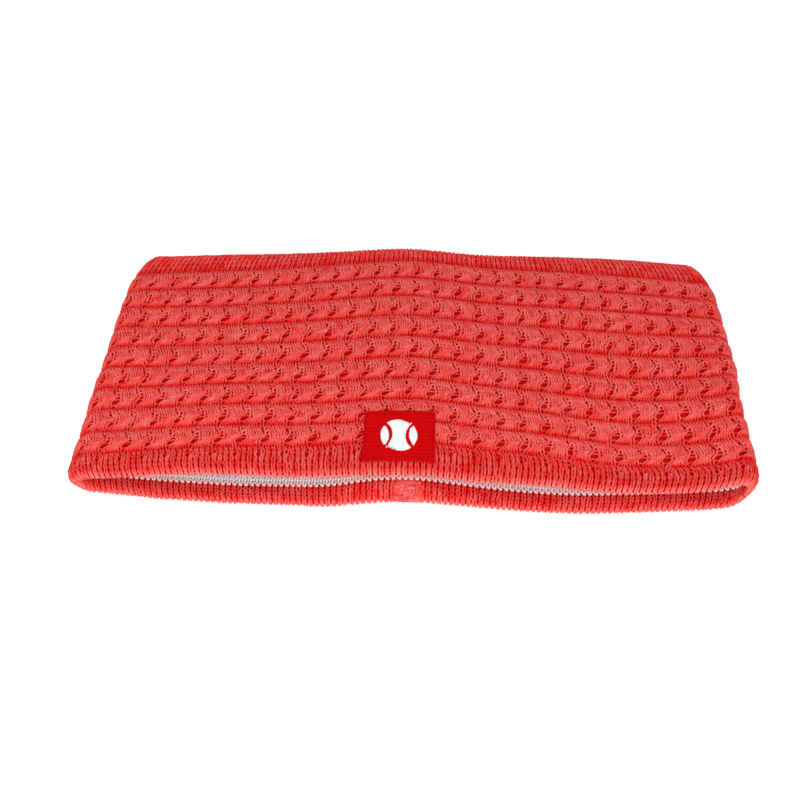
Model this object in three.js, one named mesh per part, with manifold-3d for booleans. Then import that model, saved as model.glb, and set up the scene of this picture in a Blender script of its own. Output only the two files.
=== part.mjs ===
// A knitted sports headband, laid flat on a table with its label facing up.
//
// The band is a ring of thick textured knit. Both of its rims are turned in to make a soft doubled
// edge, and a plain knitted lining is linked between the two turned-in edges. The knit and the lining
// are flat panels closed by a seam at the centre back. A woven label is sewn on the centre front.
//
// X runs from fold to fold, Y from the lower rim to the upper rim, Z up from the table.
import * as THREE from 'three';
import { mergeVertices } from 'three/addons/utils/BufferGeometryUtils.js';
import Module from 'manifold-3d';

// Driving dimensions, in millimetres.
const FLAT_WIDTH = 240; // fold to fold
const BAND_HEIGHT = 106; // rim to rim
const LAID_THICKNESS = 15.8; // both layers and the slack between them
const LAYER_SLIDE = 3.4; // how far the front layer lies behind the back layer
const KNIT_WALL = 2.6; // textured outer knit
const FACING_WALL = 1.9; // turned-in part of the outer knit
const FACING_DEPTH = 6.4; // rim to turned-in edge
const LINING_WALL = 1.6;
const LINKING_WIDTH = 1.2; // row of linking stitches between facing and lining
const LINKING_PROUD = 0.3; // how far those stitches stand into the opening
const BACK_SEAM_WIDTH = 1.6; // joining stitches of the outer knit at the centre back
const LINING_SEAM_WIDTH = 1.2;
const LABEL_WIDTH = 25;
const LABEL_HEIGHT = 20;
const LABEL_THICKNESS = 0.6;
const LABEL_CORNER = 0.8;
const LABEL_TO_RIM = 5.5; // lower edge of the label to the lower rim
const LABEL_ASIDE = -3.5; // middle of the label from the centre front
const STITCH_INSET = 0.9; // label edge to the middle of its sewing line
const STITCH_WIDTH = 0.5;
const STITCH_HEIGHT = 0.3;
const EMBLEM_DIAMETER = 13;
const EMBLEM_THICKNESS = 0.5;
const EMBLEM_GROOVE = 0.9; // width of the two curved lines on the ball
const EMBLEM_GROOVE_DEPTH = 0.3;
const CLEARANCE = 0.3; // between sewn pieces
const SEAT_GAP = 0.1; // between stacked flat pieces

// Steps of the ring along one flat layer, round one fold, and round one rim.
const LAYER_STEPS = 12;
const FOLD_STEPS = 12;
const RIM_STEPS = 6;
const ARC_STEPS = 24;

const FOLD_RADIUS = LAID_THICKNESS / 2;
const LAYER_LENGTH = FLAT_WIDTH - LAID_THICKNESS;
const GIRTH = 2 * LAYER_LENGTH + 2 * Math.PI * FOLD_RADIUS;
const WORN_RADIUS = GIRTH / (2 * Math.PI); // the same ring opened out round
const HEM_WALL = KNIT_WALL + FACING_WALL;
const RIM_Y = BAND_HEIGHT / 2;
const FACING_EDGE_Y = RIM_Y - FACING_DEPTH;
const LINKING_OUTER_Y = FACING_EDGE_Y - CLEARANCE;
const LINKING_INNER_Y = LINKING_OUTER_Y - LINKING_WIDTH;
const LINING_EDGE_Y = LINKING_INNER_Y - CLEARANCE;

const wasm = await Module();
wasm.setup();

// Sections are outlines across the wall. x is the depth below the outer surface and y runs rim to rim.

function rimArc(side) {
  const points = [];
  for (let step = 0; step <= RIM_STEPS; step += 1) {
    const turn = (Math.PI * step) / RIM_STEPS;
    const depth = (HEM_WALL / 2) * (1 - side * Math.cos(turn));
    points.push(new THREE.Vector2(depth, side * (RIM_Y + (HEM_WALL / 2) * (Math.sin(turn) - 1))));
  }
  return points;
}

// The knit wall with a round doubled hem at each rim.
function knitSection() {
  return [
    ...rimArc(-1),
    ...rimArc(1),
    new THREE.Vector2(HEM_WALL, FACING_EDGE_Y),
    new THREE.Vector2(KNIT_WALL, FACING_EDGE_Y),
    new THREE.Vector2(KNIT_WALL, -FACING_EDGE_Y),
    new THREE.Vector2(HEM_WALL, -FACING_EDGE_Y),
  ];
}

function bandSection(fromDepth, toDepth, fromY, toY) {
  return [
    new THREE.Vector2(fromDepth, fromY),
    new THREE.Vector2(fromDepth, toY),
    new THREE.Vector2(toDepth, toY),
    new THREE.Vector2(toDepth, fromY),
  ];
}

function liningSection() {
  const outside = KNIT_WALL + CLEARANCE;
  return bandSection(outside, outside + LINING_WALL, -LINING_EDGE_Y, LINING_EDGE_Y);
}

function linkingSection(side) {
  const middle = (side * (LINKING_OUTER_Y + LINKING_INNER_Y)) / 2;
  const half = LINKING_WIDTH / 2;
  return bandSection(KNIT_WALL + CLEARANCE, HEM_WALL + LINKING_PROUD, middle - half, middle + half);
}

// A point of the ring laid flat, for the step it stands on, counted from the centre front towards +X.
function laidPoint(step, depth) {
  const radius = FOLD_RADIUS - depth;
  const stretch = LAYER_LENGTH / LAYER_STEPS;
  const half = LAYER_LENGTH / 2;
  const right = LAYER_STEPS / 2;
  const back = right + FOLD_STEPS;
  const left = back + LAYER_STEPS;
  const front = left + FOLD_STEPS;
  if (step <= right) return [step * stretch, radius];
  if (step <= back) {
    const turn = (Math.PI * (step - right)) / FOLD_STEPS;
    return [half + radius * Math.sin(turn), radius * Math.cos(turn)];
  }
  if (step <= left) return [half - (step - back) * stretch, -radius];
  if (step <= front) {
    const turn = (Math.PI * (step - left)) / FOLD_STEPS;
    return [-half - radius * Math.sin(turn), -radius * Math.cos(turn)];
  }
  return [-half + (step - front) * stretch, radius];
}

const RING_STEPS = 2 * (LAYER_STEPS + FOLD_STEPS);

// Moves a ring made round about Y to where the flattened ring holds the same part of it. The front layer
// slides back and the back layer slides forward by half of LAYER_SLIDE.
function layFlat(geometry) {
  const place = geometry.attributes.position;
  for (let i = 0; i < place.count; i += 1) {
    const around = Math.atan2(place.getX(i), place.getZ(i)) / (2 * Math.PI);
    const depth = WORN_RADIUS - Math.hypot(place.getX(i), place.getZ(i));
    const step = Math.round((around < 0 ? around + 1 : around) * RING_STEPS);
    const [x, height] = laidPoint(step, depth);
    const slide = (LAYER_SLIDE / 2) * (height / (FOLD_RADIUS - depth));
    place.setXYZ(i, x, place.getY(i) + slide, FOLD_RADIUS + height);
  }
  return geometry;
}

function ring(section) {
  const outline = section.map((point) => new THREE.Vector2(WORN_RADIUS - point.x, point.y));
  outline.push(outline[0].clone());
  return layFlat(new THREE.LatheGeometry(outline, RING_STEPS));
}

function solidOf(geometry) {
  const bare = geometry.clone();
  bare.deleteAttribute('normal');
  bare.deleteAttribute('uv');
  const merged = mergeVertices(bare);
  const vertProperties = new Float32Array(merged.attributes.position.array);
  const triVerts = new Uint32Array(merged.index.array);
  return new wasm.Manifold(new wasm.Mesh({ numProp: 3, vertProperties, triVerts }));
}

function geometryOf(solid) {
  const mesh = solid.getMesh();
  const geometry = new THREE.BufferGeometry();
  geometry.setAttribute('position', new THREE.BufferAttribute(mesh.vertProperties, 3));
  geometry.setIndex(new THREE.BufferAttribute(mesh.triVerts, 1));
  geometry.computeVertexNormals();
  return geometry;
}

// Opens a ring along the centre back, so that it becomes a panel whose two ends face each other.
function openAtBack(geometry, seamWidth) {
  const slit = new THREE.BoxGeometry(seamWidth + 2 * CLEARANCE, 2 * BAND_HEIGHT, LAID_THICKNESS);
  return geometryOf(solidOf(geometry).subtract(solidOf(slit)));
}

// A bar of joining stitches at the centre back, with the wall's own section.
function backSeam(section, width) {
  const outline = new THREE.Shape(section.map((point) => new THREE.Vector2(point.y, point.x)));
  const bar = new THREE.ExtrudeGeometry(outline, { depth: width, bevelEnabled: false });
  bar.rotateX(Math.PI / 2).rotateZ(Math.PI / 2); // outline x to Y, outline y to Z, depth to X
  return bar.translate(-width / 2, -LAYER_SLIDE / 2, 0);
}

function roundedRectangle(width, height, corner) {
  const x = width / 2 - corner;
  const y = height / 2 - corner;
  const outline = new THREE.Shape();
  outline.absarc(x, y, corner, 0, Math.PI / 2);
  outline.absarc(-x, y, corner, Math.PI / 2, Math.PI);
  outline.absarc(-x, -y, corner, Math.PI, 1.5 * Math.PI);
  outline.absarc(x, -y, corner, 1.5 * Math.PI, 2 * Math.PI);
  return outline;
}

function plate(outline, thickness) {
  return new THREE.ExtrudeGeometry(outline, {
    depth: thickness,
    bevelEnabled: false,
    curveSegments: ARC_STEPS / 6,
  });
}

function stitchLine() {
  const reach = 2 * STITCH_INSET;
  const outline = roundedRectangle(
    LABEL_WIDTH - reach + STITCH_WIDTH,
    LABEL_HEIGHT - reach + STITCH_WIDTH,
    LABEL_CORNER,
  );
  outline.holes.push(
    roundedRectangle(LABEL_WIDTH - reach - STITCH_WIDTH, LABEL_HEIGHT - reach - STITCH_WIDTH, LABEL_CORNER),
  );
  return plate(outline, STITCH_HEIGHT);
}

// A playing ball: a disc with two curved grooves, each an arc centred outside the disc.
function ballEmblem() {
  const radius = EMBLEM_DIAMETER / 2;
  const disc = new THREE.CylinderGeometry(radius, radius, EMBLEM_THICKNESS, 2 * ARC_STEPS);
  disc.rotateX(Math.PI / 2).translate(0, 0, EMBLEM_THICKNESS / 2);
  let ball = solidOf(disc);
  for (const side of [-1, 1]) {
    const groove = new THREE.Shape();
    groove.absarc(0, 0, radius + EMBLEM_GROOVE / 2, 0, 2 * Math.PI);
    const inside = new THREE.Path();
    inside.absarc(0, 0, radius - EMBLEM_GROOVE / 2, 0, 2 * Math.PI);
    groove.holes.push(inside);
    const cutter = new THREE.ExtrudeGeometry(groove, {
      depth: EMBLEM_THICKNESS,
      bevelEnabled: false,
      curveSegments: ARC_STEPS,
    });
    cutter.translate(side * 1.45 * radius, 0, EMBLEM_THICKNESS - EMBLEM_GROOVE_DEPTH);
    ball = ball.subtract(solidOf(cutter));
  }
  return geometryOf(ball);
}

const YARN = new THREE.MeshStandardMaterial({ color: 0xe04a48, roughness: 0.9, metalness: 0 });
const LINING_YARN = new THREE.MeshStandardMaterial({ color: 0xf1e6e8, roughness: 0.9, metalness: 0 });
const LINKING_THREAD = new THREE.MeshStandardMaterial({ color: 0xe88682, roughness: 0.9, metalness: 0 });
const LABEL_WEAVE = new THREE.MeshStandardMaterial({ color: 0xc4080c, roughness: 0.7, metalness: 0 });
const LABEL_THREAD = new THREE.MeshStandardMaterial({ color: 0xb0060a, roughness: 0.6, metalness: 0 });
const EMBLEM_THREAD = new THREE.MeshStandardMaterial({ color: 0xf7f4f2, roughness: 0.5, metalness: 0 });

const headband = new THREE.Group();

function add(parent, name, geometry, material) {
  const mesh = new THREE.Mesh(geometry, material);
  mesh.name = name;
  parent.add(mesh);
  return mesh;
}

add(headband, 'outer_knit_band', openAtBack(ring(knitSection()), BACK_SEAM_WIDTH), YARN);
add(headband, 'inner_lining', openAtBack(ring(liningSection()), LINING_SEAM_WIDTH), LINING_YARN);
add(headband, 'lower_linking_seam', ring(linkingSection(-1)), LINKING_THREAD);
add(headband, 'upper_linking_seam', ring(linkingSection(1)), LINKING_THREAD);
add(headband, 'back_seam', backSeam(knitSection(), BACK_SEAM_WIDTH), YARN);
add(headband, 'lining_back_seam', backSeam(liningSection(), LINING_SEAM_WIDTH), LINING_YARN);

const label = new THREE.Group();
label.position.set(
  LABEL_ASIDE,
  LAYER_SLIDE / 2 - RIM_Y + LABEL_TO_RIM + LABEL_HEIGHT / 2,
  LAID_THICKNESS + SEAT_GAP,
);
const labelOutline = roundedRectangle(LABEL_WIDTH, LABEL_HEIGHT, LABEL_CORNER);
add(label, 'label_patch', plate(labelOutline, LABEL_THICKNESS), LABEL_WEAVE);
const onLabel = LABEL_THICKNESS + SEAT_GAP;
add(label, 'label_stitching', stitchLine(), LABEL_THREAD).position.z = onLabel;
add(label, 'label_emblem', ballEmblem(), EMBLEM_THREAD).position.z = onLabel;
headband.add(label);

export default headband;
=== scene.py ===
"""A knitted sports headband lying flat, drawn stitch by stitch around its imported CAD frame.

The outer knit is built from its real yarn: one looped strand for each course, carried round the laid-flat
ring. Under it lies the closed cloth that the loops stand on. The knitted lining, the linking rows, the back
seams and the woven label are built the same way, each from its own thread. Lengths are in millimetres
inside this file, and metres only where a mesh is made.
"""

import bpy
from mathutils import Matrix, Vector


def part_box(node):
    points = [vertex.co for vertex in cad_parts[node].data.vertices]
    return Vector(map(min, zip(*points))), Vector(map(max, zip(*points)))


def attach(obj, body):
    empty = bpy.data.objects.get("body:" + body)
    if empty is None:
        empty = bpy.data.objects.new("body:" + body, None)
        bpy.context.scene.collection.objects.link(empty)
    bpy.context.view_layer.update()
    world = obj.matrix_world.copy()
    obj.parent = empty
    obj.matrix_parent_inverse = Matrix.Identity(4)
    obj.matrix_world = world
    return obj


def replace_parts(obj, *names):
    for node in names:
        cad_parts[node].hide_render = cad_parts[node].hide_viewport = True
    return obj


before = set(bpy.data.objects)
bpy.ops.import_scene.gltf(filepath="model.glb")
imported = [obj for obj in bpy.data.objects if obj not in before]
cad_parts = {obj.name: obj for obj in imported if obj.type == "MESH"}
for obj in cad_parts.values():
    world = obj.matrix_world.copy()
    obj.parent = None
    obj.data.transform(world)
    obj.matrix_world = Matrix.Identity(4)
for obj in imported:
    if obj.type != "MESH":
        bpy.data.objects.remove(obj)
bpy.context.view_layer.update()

import logging
import math
from dataclasses import dataclass, field
from enum import Enum

import bpy
import numpy as np
from mathutils import Quaternion, Vector

LOG = logging.getLogger("headband")
MM = 0.001
TAU = 2 * math.pi
BODY = "root"
BAKE_MAP = "OFBake"
TWIST_MAP = "Twist"
HEIGHT_MAP = "Height"
# A short step away from the cloth, which tells a thread which way is outward.
NUDGE = 0.1


# ------------------------------------------------------------------ small tools


def linear(hex_colour: str) -> tuple[float, float, float, float]:
    """Turns an sRGB hex colour such as "#ED504A" into a linear RGBA.

    Args:
        hex_colour: The colour, with its leading #.

    Returns:
        Red, green, blue and an alpha of 1.
    """
    parts = [int(hex_colour[i : i + 2], 16) / 255 for i in (1, 3, 5)]
    flat = [p / 12.92 if p <= 0.04045 else ((p + 0.055) / 1.055) ** 2.4 for p in parts]
    return (*flat, 1.0)


def per_metre(size: float) -> float:
    """The texture scale that gives features of a size in millimetres."""
    return 1 / (size * MM)


def cad_box(node: str) -> tuple[np.ndarray, np.ndarray]:
    """Gives a CAD node's lowest and highest corners in millimetres."""
    low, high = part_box(node)
    return np.array(low) / MM, np.array(high) / MM


def smooth_step(value: np.ndarray) -> np.ndarray:
    """The cubic 3t^2 - 2t^3 of a value held between 0 and 1."""
    t = np.clip(value, 0, 1)
    return t * t * (3 - 2 * t)


def unit(vectors: np.ndarray) -> np.ndarray:
    """Scales vectors along the last axis to length 1."""
    return vectors / np.maximum(np.linalg.norm(vectors, axis=-1, keepdims=True), 1e-12)


# ------------------------------------------------------------------ the laid-flat ring


@dataclass(frozen=True)
class Gauge:
    """How the band is knitted: stitches round it and courses from edge to edge."""

    cells_round: int = 60
    wales_per_cell: int = 4
    courses_per_cell: int = 6
    cell_rows: int = 9
    row_pitch: float = 9.8
    lower_border_height: float = 5.4
    facing_courses: int = 3
    rim_courses: int = 2
    lower_border: int = 4
    upper_border: int = 4
    yarn_radius: float = 0.4

    @property
    def wales(self) -> int:
        """Stitches round the band."""
        return self.cells_round * self.wales_per_cell

    @property
    def first_valley(self) -> int:
        """The course at which the lowest pattern row starts."""
        return self.facing_courses + self.rim_courses + self.lower_border

    @property
    def last_valley(self) -> int:
        """The course at which the highest pattern row ends."""
        return self.first_valley + self.cell_rows * self.courses_per_cell

    @property
    def courses(self) -> int:
        """All courses, from one turned-in edge to the other."""
        return self.last_valley + self.upper_border + self.rim_courses + self.facing_courses


class Layer(Enum):
    """Which of the band's two laid layers something belongs to."""

    FRONT = 1
    BACK = -1
    BOTH = 0


@dataclass(frozen=True)
class Bow:
    """A soft wave along X, in the shape of a bell curve, that carries cloth back or up.

    It moves one layer or both, over the whole height or only towards one rim: rim is -1 for the lower
    one and 1 for the upper one. Its share there grows from fade_from halfway, over the distance fade.
    """

    centre: float
    width: float
    back: float = 0.0
    up: float = 0.0
    layer: Layer = Layer.BOTH
    rim: int = 0
    fade: float = 60.0
    fade_from: float = 0.4
    inset: float = 0.0

    def weight(self, x: np.ndarray, y: np.ndarray, side: np.ndarray, to_rim: np.ndarray) -> np.ndarray:
        """Gives the share of the wave that each point feels. With an inset, it grows from none at the rim.

        Args:
            x: Place from fold to fold.
            y: Place from rim to rim, 0 halfway.
            side: 1 on the front layer, -1 on the back layer, and in between on the folds.
            to_rim: Distance from the nearer rim.

        Returns:
            exp(-((x - centre) / width)^2), faded out towards the other layer and the other rim.
        """
        bell = np.exp(-(((x - self.centre) / self.width) ** 2))
        if self.layer is not Layer.BOTH:
            bell = bell * smooth_step((1 + self.layer.value * side) / 2)
        if self.rim:
            bell = bell * smooth_step(self.fade_from + self.rim * y / self.fade)
        if self.inset:
            bell = bell * smooth_step(to_rim / self.inset)
        return bell


@dataclass(frozen=True)
class Drape:
    """How the soft band lies: slid layers, sagging hems, rounded corners and a few soft bows.

    The taper and flare are shares of the band's width, shear_from is a share of half its height, and
    corner_power is a power. The rest are lengths.
    """

    slide: float = 3.4
    hem_sag: float = 2.2
    sag_from: float = 18.0
    taper: float = 0.014
    flare: float = 0.03
    shear: float = 1.3
    shear_from: float = 0.35
    lower_corner_pull: float = 4.3
    lower_corner_reach: float = 10.0
    upper_corner_pull: float = 5.0
    upper_corner_reach: float = 16.0
    corner_power: float = 2.4
    lower_curl: float = 1.6
    upper_curl: float = 1.5
    end_sag: float = 2.6
    curl_from: float = 80.0
    table_gap: float = 0.28
    press_from: float = 1.0
    bows: tuple[Bow, ...] = (
        # The thick seam at the centre back pushes the middle of the band away from the lower rim.
        Bow(-3, 25, back=3.4),
        Bow(-8, 36, back=-3.0, layer=Layer.BACK, rim=-1),
        Bow(-75, 45, back=-1.3, layer=Layer.BACK, rim=-1),
        Bow(-3, 27, up=3.4, layer=Layer.BACK, rim=-1, inset=6.0),
        Bow(0, 30, back=-1.6, layer=Layer.FRONT, rim=-1),
        Bow(-28, 40, back=2.6, rim=1),
        Bow(45, 30, back=1.0, rim=1),
        Bow(75, 55, back=2.1, rim=1),
        # The opening gapes a little on the left of the label and is pressed nearly shut on the right.
        Bow(-62, 24, up=1.6, layer=Layer.FRONT, rim=-1),
        Bow(-55, 45, back=-0.6, layer=Layer.FRONT, rim=-1),
        Bow(76, 26, up=-4.2, layer=Layer.FRONT, rim=-1),
        Bow(5, 15, up=0.8, layer=Layer.FRONT, rim=-1),
        Bow(-58, 18, back=-0.6, layer=Layer.BACK, rim=-1),
        Bow(56, 26, back=-1.9, layer=Layer.BACK, rim=-1),
        Bow(-28, 12, back=-0.8, layer=Layer.BACK, rim=-1),
        # The left end sags where the right end stands up and rounds off.
        Bow(-112, 30, up=-1.8, layer=Layer.FRONT, rim=-1),
        Bow(118, 18, up=4.5, layer=Layer.FRONT, rim=-1),
        Bow(124, 12, back=4.0, layer=Layer.FRONT, rim=-1),
        Bow(124, 10, back=4.4, layer=Layer.BACK, rim=-1),
    )

    def settle(
        self, x: np.ndarray, y: np.ndarray, z: np.ndarray, side: np.ndarray, half: tuple[float, float]
    ) -> np.ndarray:
        """Carries a point of the flat ring to where the soft band holds it.

        The front layer sags towards both rims, and more at the ends of the lower one. The corners draw in
        as a power of the distance past their start, the rims curl inwards near the folds, and the bows are
        added. With low the share of the way from the middle to the lower rim, the band widens by flare
        low^3 and shears sideways over the first shear_from of it. Towards the upper rim it narrows by
        taper. Cloth below press_from is pressed flat, its height nearing table_gap exponentially.

        Args:
            x: Place from fold to fold.
            y: Place from rim to rim, 0 halfway.
            z: Height above the table.
            side: 1 on the front layer, -1 on the back layer.
            half: Half the band's width and half its height.

        Returns:
            Points in millimetres.
        """
        half_width, half_height = half
        front = smooth_step((1 + side) / 2)
        sag = self.hem_sag * front * smooth_step((np.abs(y) - self.sag_from) / (half_height - self.sag_from))
        reach = np.where(y < 0, self.lower_corner_reach, self.upper_corner_reach)
        past = np.clip((np.abs(y) - half_height + reach) / reach, 0, 1)
        corner = np.where(y < 0, self.lower_corner_pull, self.upper_corner_pull)
        pull = corner * past**self.corner_power / half_width
        ends = smooth_step((np.abs(x) - self.curl_from) / (half_width - self.curl_from))
        curl = np.where(y < 0, self.lower_curl * (1 - front), -self.upper_curl)
        curl = curl * smooth_step(np.abs(y) / half_height)
        back = self.slide / 2 * side + curl * ends
        up = -sag - self.end_sag * ends * front * smooth_step(-y / half_height)
        for bow in self.bows:
            weight = bow.weight(x, y, side, half_height - np.abs(y))
            back = back + bow.back * weight
            up = up + bow.up * weight
        height, span = z + up, self.press_from - self.table_gap
        pressed = self.table_gap + span * np.exp(np.minimum(height - self.press_from, 0) / span)
        height = np.where(height < self.press_from, pressed, height)
        low = np.clip(-y / half_height, 0, 1)
        widen = self.flare * low**3 - self.taper * np.maximum(y, 0) / half_height
        across = x * (1 - pull + widen) - self.shear * smooth_step(low / self.shear_from)
        return np.stack([across, y + back, height], axis=-1)


@dataclass
class LaidRing:
    """The flattened ring that every sewn piece follows, sized from the CAD boxes.

    A point of it is given by how far round the ring it lies (millimetres from the centre front), how deep
    below the outer surface, and how high between the rims.
    """

    gauge: Gauge = field(default_factory=Gauge)
    drape: Drape = field(default_factory=Drape)
    facing_wall: float = 1.9
    clearance: float = 0.3
    knit_depth: float = 1.15

    def __post_init__(self) -> None:
        """Reads the band's size from its CAD boxes."""
        low, high = cad_box("outer_knit_band")
        self.width = high[0] - low[0]
        self.height = high[1] - low[1] - self.drape.slide
        self.thickness = high[2] - low[2]
        lining_low, _ = cad_box("inner_lining")
        self.knit_wall = lining_low[2] - self.clearance
        self.hem_wall = self.knit_wall + self.facing_wall
        self.lining_half = -lining_low[1] - self.drape.slide / 2
        self.fold_radius = self.thickness / 2
        self.layer = self.width - self.thickness
        seam_low, _ = cad_box("lower_linking_seam")
        self.linking_outer = -seam_low[1] - self.drape.slide / 2
        self.facing_depth = seam_low[1] - low[1] - self.clearance
        self.girth = 2 * self.layer + TAU * (self.fold_radius - self.knit_depth)
        self.wale = self.girth / self.gauge.wales
        self.rim_y = self.height / 2

    def around(self, along: np.ndarray, depth: np.ndarray) -> tuple[np.ndarray, np.ndarray, np.ndarray]:
        """Carries a point round the stadium outline: along the front, round a fold, and back.

        Args:
            along: Distance round the ring, 0 at the centre front, growing towards +X.
            depth: Depth below the outer surface.

        Returns:
            X, Z, and the side, which is 1 on the front layer and -1 on the back layer.
        """
        fold = math.pi * (self.fold_radius - self.knit_depth)
        half = self.layer / 2
        along = np.mod(along + half, self.girth)
        radius = self.fold_radius - depth
        turn = math.pi * np.clip((along - self.layer) / fold, 0, 1)
        turn_back = math.pi * np.clip((along - 2 * self.layer - fold) / fold, 0, 1)
        run = np.clip(along, 0, self.layer) - np.clip(along - self.layer - fold, 0, self.layer)
        side = np.cos(turn + turn_back)
        x = run - half + radius * (np.sin(turn) - np.sin(turn_back))
        return x, self.fold_radius + radius * side, side

    def place(self, along: np.ndarray, depth: np.ndarray, y: np.ndarray) -> np.ndarray:
        """Gives the final point for a place on the ring.

        Args:
            along: Distance round the ring from the centre front.
            depth: Depth below the outer surface.
            y: Height between the rims, 0 halfway.

        Returns:
            Points in millimetres in the frame of the CAD model.
        """
        x, z, side = self.around(along, depth)
        return self.drape.settle(x, y, z, side, (self.width / 2, self.rim_y))


@dataclass
class KnitSection:
    """The path of the outer knit across the wall: facing, rim, outer face, rim and facing."""

    ring: LaidRing

    def __post_init__(self) -> None:
        """Works out the straight and round lengths, and where each course lies along them."""
        gauge, ring = self.ring.gauge, self.ring
        self.centre_depth = ring.hem_wall / 2
        self.radius = self.centre_depth - ring.knit_depth
        self.flat_half = ring.rim_y - ring.hem_wall / 2
        facing = ring.facing_depth - ring.hem_wall / 2
        arc = math.pi * self.radius
        rows = gauge.cell_rows * gauge.row_pitch
        spans = [
            (gauge.facing_courses, facing),
            (gauge.rim_courses, arc),
            (gauge.lower_border, gauge.lower_border_height),
            (gauge.last_valley - gauge.first_valley, rows),
            (gauge.upper_border, 2 * self.flat_half - gauge.lower_border_height - rows),
            (gauge.rim_courses, arc),
            (gauge.facing_courses, facing),
        ]
        self.course_marks = np.cumsum([0] + [count for count, _ in spans])
        self.length_marks = np.cumsum([0] + [length for _, length in spans])
        self.course_height = gauge.row_pitch / gauge.courses_per_cell

    def at(self, course: np.ndarray, lift: np.ndarray) -> tuple[np.ndarray, np.ndarray]:
        """Gives depth and y of a point that stands lift above the knit's middle surface.

        The path is two half turns of a circle joined by straight runs, so its outward direction turns
        from the opening, round the rim, to the outer face.

        Args:
            course: Place along the path in courses.
            lift: Distance outwards from the path.

        Returns:
            The depth below the outer surface, and the height between the rims.
        """
        marks = self.length_marks
        beyond = np.clip(course - self.course_marks[-1], 0, None) - np.clip(-course, 0, None)
        s = np.interp(course, self.course_marks, marks) + beyond * self.course_height
        lower_arc, upper_arc = (marks[1], marks[2]), (marks[5], marks[6])
        first = np.clip((s - lower_arc[0]) / (lower_arc[1] - lower_arc[0]), 0, 1) * math.pi
        last = np.clip((s - upper_arc[0]) / (upper_arc[1] - upper_arc[0]), 0, 1) * math.pi
        run = np.clip(s - lower_arc[1], 0, upper_arc[0] - lower_arc[1])
        lower_facing = np.minimum(s - lower_arc[0], 0)
        upper_facing = np.maximum(s - upper_arc[1], 0)
        reach = self.radius + lift
        depth = self.centre_depth + np.cos(first + last) * reach
        y_middle = run - self.flat_half - lower_facing - upper_facing
        return depth, y_middle + (np.sin(last) - np.sin(first)) * reach


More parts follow.
